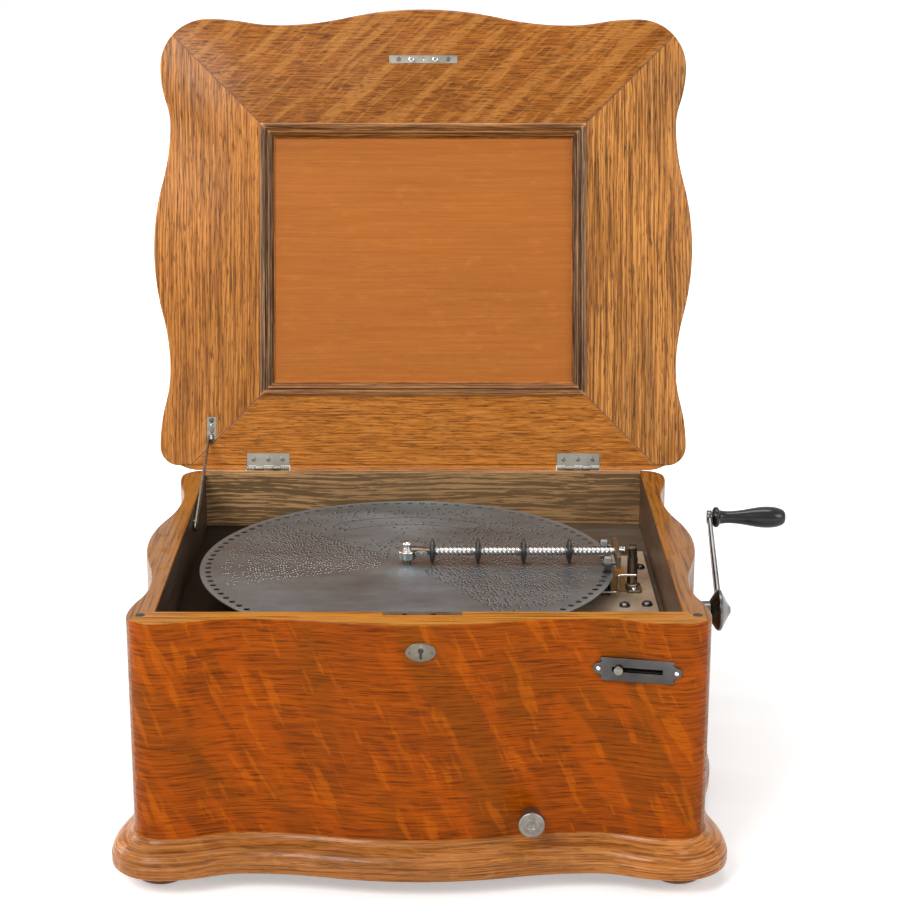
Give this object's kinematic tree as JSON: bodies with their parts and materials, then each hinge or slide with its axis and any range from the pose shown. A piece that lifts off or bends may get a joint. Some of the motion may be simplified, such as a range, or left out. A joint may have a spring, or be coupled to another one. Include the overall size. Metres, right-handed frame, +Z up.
{
  "type": "disc music box",
  "caption": "Table-top disc music box in a serpentine oak case with a hinged lid, a hand-cranked spring motor and a pressure arm over the tune disc.",
  "frame": {"origin": "middle of the whole object's footprint, on the table, with the lid open and the crank fitted", "axes": "+Z up, -Y towards the person in front of the keyhole, +X towards the crank"},
  "size_m": [0.6446, 0.6328, 0.7107],
  "materials": {
    "oak_case": "polished golden oak",
    "oak_lid": "polished quarter-sawn oak",
    "oak_panel": "polished orange-brown veneer",
    "pine_board": "plain",
    "nickel": "worn nickel plate",
    "disc_steel": "dull zinc-plated steel",
    "bed_iron": "painted pale tan",
    "comb_steel": "ground steel",
    "gear_brass": "dull brass",
    "crank_iron": "dark, worn",
    "black_grip": "ebonised, gloss"
  },
  "bodies": {
    "case": {"front_panel": "oak_case", "back_panel": "oak_case", "left_side": "oak_case", "right_side": "oak_case", "bottom_board": "oak_case", "plinth_front": "oak_case", "plinth_left": "oak_case", "plinth_right": "oak_case", "feet": "oak_case", "lock_case": "nickel", "escutcheon": "nickel", "start_plate": "nickel", "hinge_case_leaves": "nickel", "hinge_pins": "nickel", "stay_stud": "nickel", "crank_bush": "crank_iron", "sound_board": "pine_board", "bed_plate": "bed_iron", "bed_screws": "nickel", "front_comb": "comb_steel", "rear_comb": "comb_steel", "star_bridge": "gear_brass", "centre_spindle": "nickel", "arm_post": "nickel", "sprocket_bracket": "gear_brass", "motor_plate_left": "gear_brass", "motor_plate_right": "gear_brass", "motor_pillars": "gear_brass"},
    "lid": {"lid_front_board": "oak_lid", "lid_back_board": "oak_lid", "lid_left_board": "oak_lid", "lid_right_board": "oak_lid", "lid_panel": "oak_panel", "lid_top_board": "oak_lid", "striker_plate": "nickel", "hinge_lid_leaves": "nickel", "stay_bracket": "nickel"},
    "stay": {"stay_bar": "nickel"},
    "crank": {"crank_arm": "crank_iron", "crank_shaft": "comb_steel"},
    "grip": {"crank_grip": "black_grip"},
    "winding": {"winding_wheel": "comb_steel"},
    "click_pawl": {"click": "comb_steel"},
    "disc": {"tune_disc": "disc_steel"},
    "sprocket": {"drive_sprocket": "gear_brass"},
    "barrel": {"spring_barrel": "gear_brass", "mainspring": "comb_steel"},
    "relay": {"relay_wheel": "comb_steel"},
    "governor": {"governor_fly": "comb_steel"},
    "stars": {"star_wheels": "gear_brass"},
    "arm": {"arm_bar": "nickel", "arm_hub": "nickel"},
    "rollers": {"arm_rollers": "nickel"},
    "roller_front": {"edge_roller_front": "nickel"},
    "roller_rear": {"edge_roller_rear": "nickel"},
    "latch": {"hub_latch": "nickel"},
    "slider": {"start_slider": "nickel"},
    "wire": {"stop_wire": "nickel"},
    "knob": {"speed_knob": "nickel"}
  },
  "joints": [
    {"name": "lid_hinge", "type": "hinge", "parent": "case", "child": "lid", "pos_m": [-0.03975, 0.1611, 0.2484], "axis": [-1, 0, 0], "range_deg": [-106, 0]},
    {"name": "stay_pivot", "type": "hinge", "parent": "lid", "child": "stay", "pos_m": [-0.26395, 0.16397, 0.27982], "axis": [1, 0, 0], "range_deg": [-120.02, 0.2]},
    {"name": "crank_turn", "type": "hinge", "parent": "case", "child": "crank", "pos_m": [0.24625, -0.0579, 0.172], "axis": [1, 0, 0], "continuous": true},
    {"name": "grip_spin", "type": "hinge", "parent": "crank", "child": "grip", "pos_m": [0.24925, 0.04015, 0.23398], "axis": [1, 0, 0], "continuous": true},
    {"name": "winding_turn", "type": "hinge", "parent": "case", "child": "winding", "pos_m": [0.16525, -0.03541, 0.13303], "axis": [1, 0, 0], "continuous": true},
    {"name": "click_rock", "type": "hinge", "parent": "case", "child": "click_pawl", "pos_m": [0.15625, 0.00059, 0.14702], "axis": [1, 0, 0], "range_deg": [0, 8], "stiffness_Nm_per_rad": 0.05, "springref_deg": -5.73},
    {"name": "disc_spin", "type": "hinge", "parent": "case", "child": "disc", "pos_m": [-0.05325, -0.0579, 0.219], "axis": [0, 0, 1], "continuous": true},
    {"name": "sprocket_turn", "type": "hinge", "parent": "case", "child": "sprocket", "pos_m": [0.13575, -0.0579, 0.19931], "axis": [1, 0, 0], "continuous": true},
    {"name": "barrel_turn", "type": "hinge", "parent": "case", "child": "barrel", "pos_m": [0.06625, -0.03541, 0.13303], "axis": [1, 0, 0], "continuous": true},
    {"name": "relay_turn", "type": "hinge", "parent": "case", "child": "relay", "pos_m": [0.11025, -0.10119, 0.10908], "axis": [1, 0, 0], "continuous": true},
    {"name": "governor_turn", "type": "hinge", "parent": "case", "child": "governor", "pos_m": [0.06825, -0.13119, 0.10908], "axis": [1, 0, 0], "continuous": true},
    {"name": "star_turn", "type": "hinge", "parent": "case", "child": "stars", "pos_m": [-0.02725, -0.0579, 0.21115], "axis": [1, 0, 0], "continuous": true},
    {"name": "arm_swing", "type": "hinge", "parent": "case", "child": "arm", "pos_m": [0.16175, -0.0579, 0.2318], "axis": [0, 1, 0], "range_deg": [0, 75]},
    {"name": "roller_turn", "type": "hinge", "parent": "arm", "child": "rollers", "pos_m": [-0.02915, -0.0579, 0.2318], "axis": [1, 0, 0], "continuous": true},
    {"name": "edge_front_turn", "type": "hinge", "parent": "arm", "child": "roller_front", "pos_m": [0.13575, -0.0829, 0.22825], "axis": [1, 0, 0], "continuous": true},
    {"name": "edge_rear_turn", "type": "hinge", "parent": "arm", "child": "roller_rear", "pos_m": [0.13575, -0.0329, 0.22825], "axis": [1, 0, 0], "continuous": true},
    {"name": "latch_turn", "type": "hinge", "parent": "arm", "child": "latch", "pos_m": [-0.03975, -0.0649, 0.2318], "axis": [0, 1, 0], "range_deg": [-20, 20]},
    {"name": "start_slide", "type": "slide", "parent": "case", "child": "slider", "axis": [0.9816, -0.1908, 0], "range_m": [0, 0.033]},
    {"name": "wire_swing", "type": "hinge", "parent": "case", "child": "wire", "pos_m": [0.15025, -0.0819, 0.216], "axis": [1, 0, 0], "range_deg": [0, 7]},
    {"name": "knob_turn", "type": "hinge", "parent": "case", "child": "knob", "pos_m": [0.05715, -0.2954, 0.069], "axis": [0, 1, 0], "range_deg": [-135, 135]}
  ],
  "couplings": [
    {"joint": "stay_pivot", "follows": "lid_hinge", "ratio": 1.1304},
    {"joint": "winding_turn", "follows": "crank_turn", "ratio": -0.5},
    {"joint": "sprocket_turn", "follows": "disc_spin", "ratio": -9.6},
    {"joint": "barrel_turn", "follows": "disc_spin", "ratio": 1.6},
    {"joint": "relay_turn", "follows": "disc_spin", "ratio": -9.6},
    {"joint": "governor_turn", "follows": "disc_spin", "ratio": 28.8},
    {"joint": "star_turn", "follows": "disc_spin", "ratio": -13.419},
    {"joint": "roller_turn", "follows": "disc_spin", "ratio": 7.4025},
    {"joint": "edge_front_turn", "follows": "disc_spin", "ratio": 22.235},
    {"joint": "edge_rear_turn", "follows": "disc_spin", "ratio": 22.235},
    {"joint": "wire_swing", "follows": "start_slide", "rad_per_m": 3.1}
  ]
}
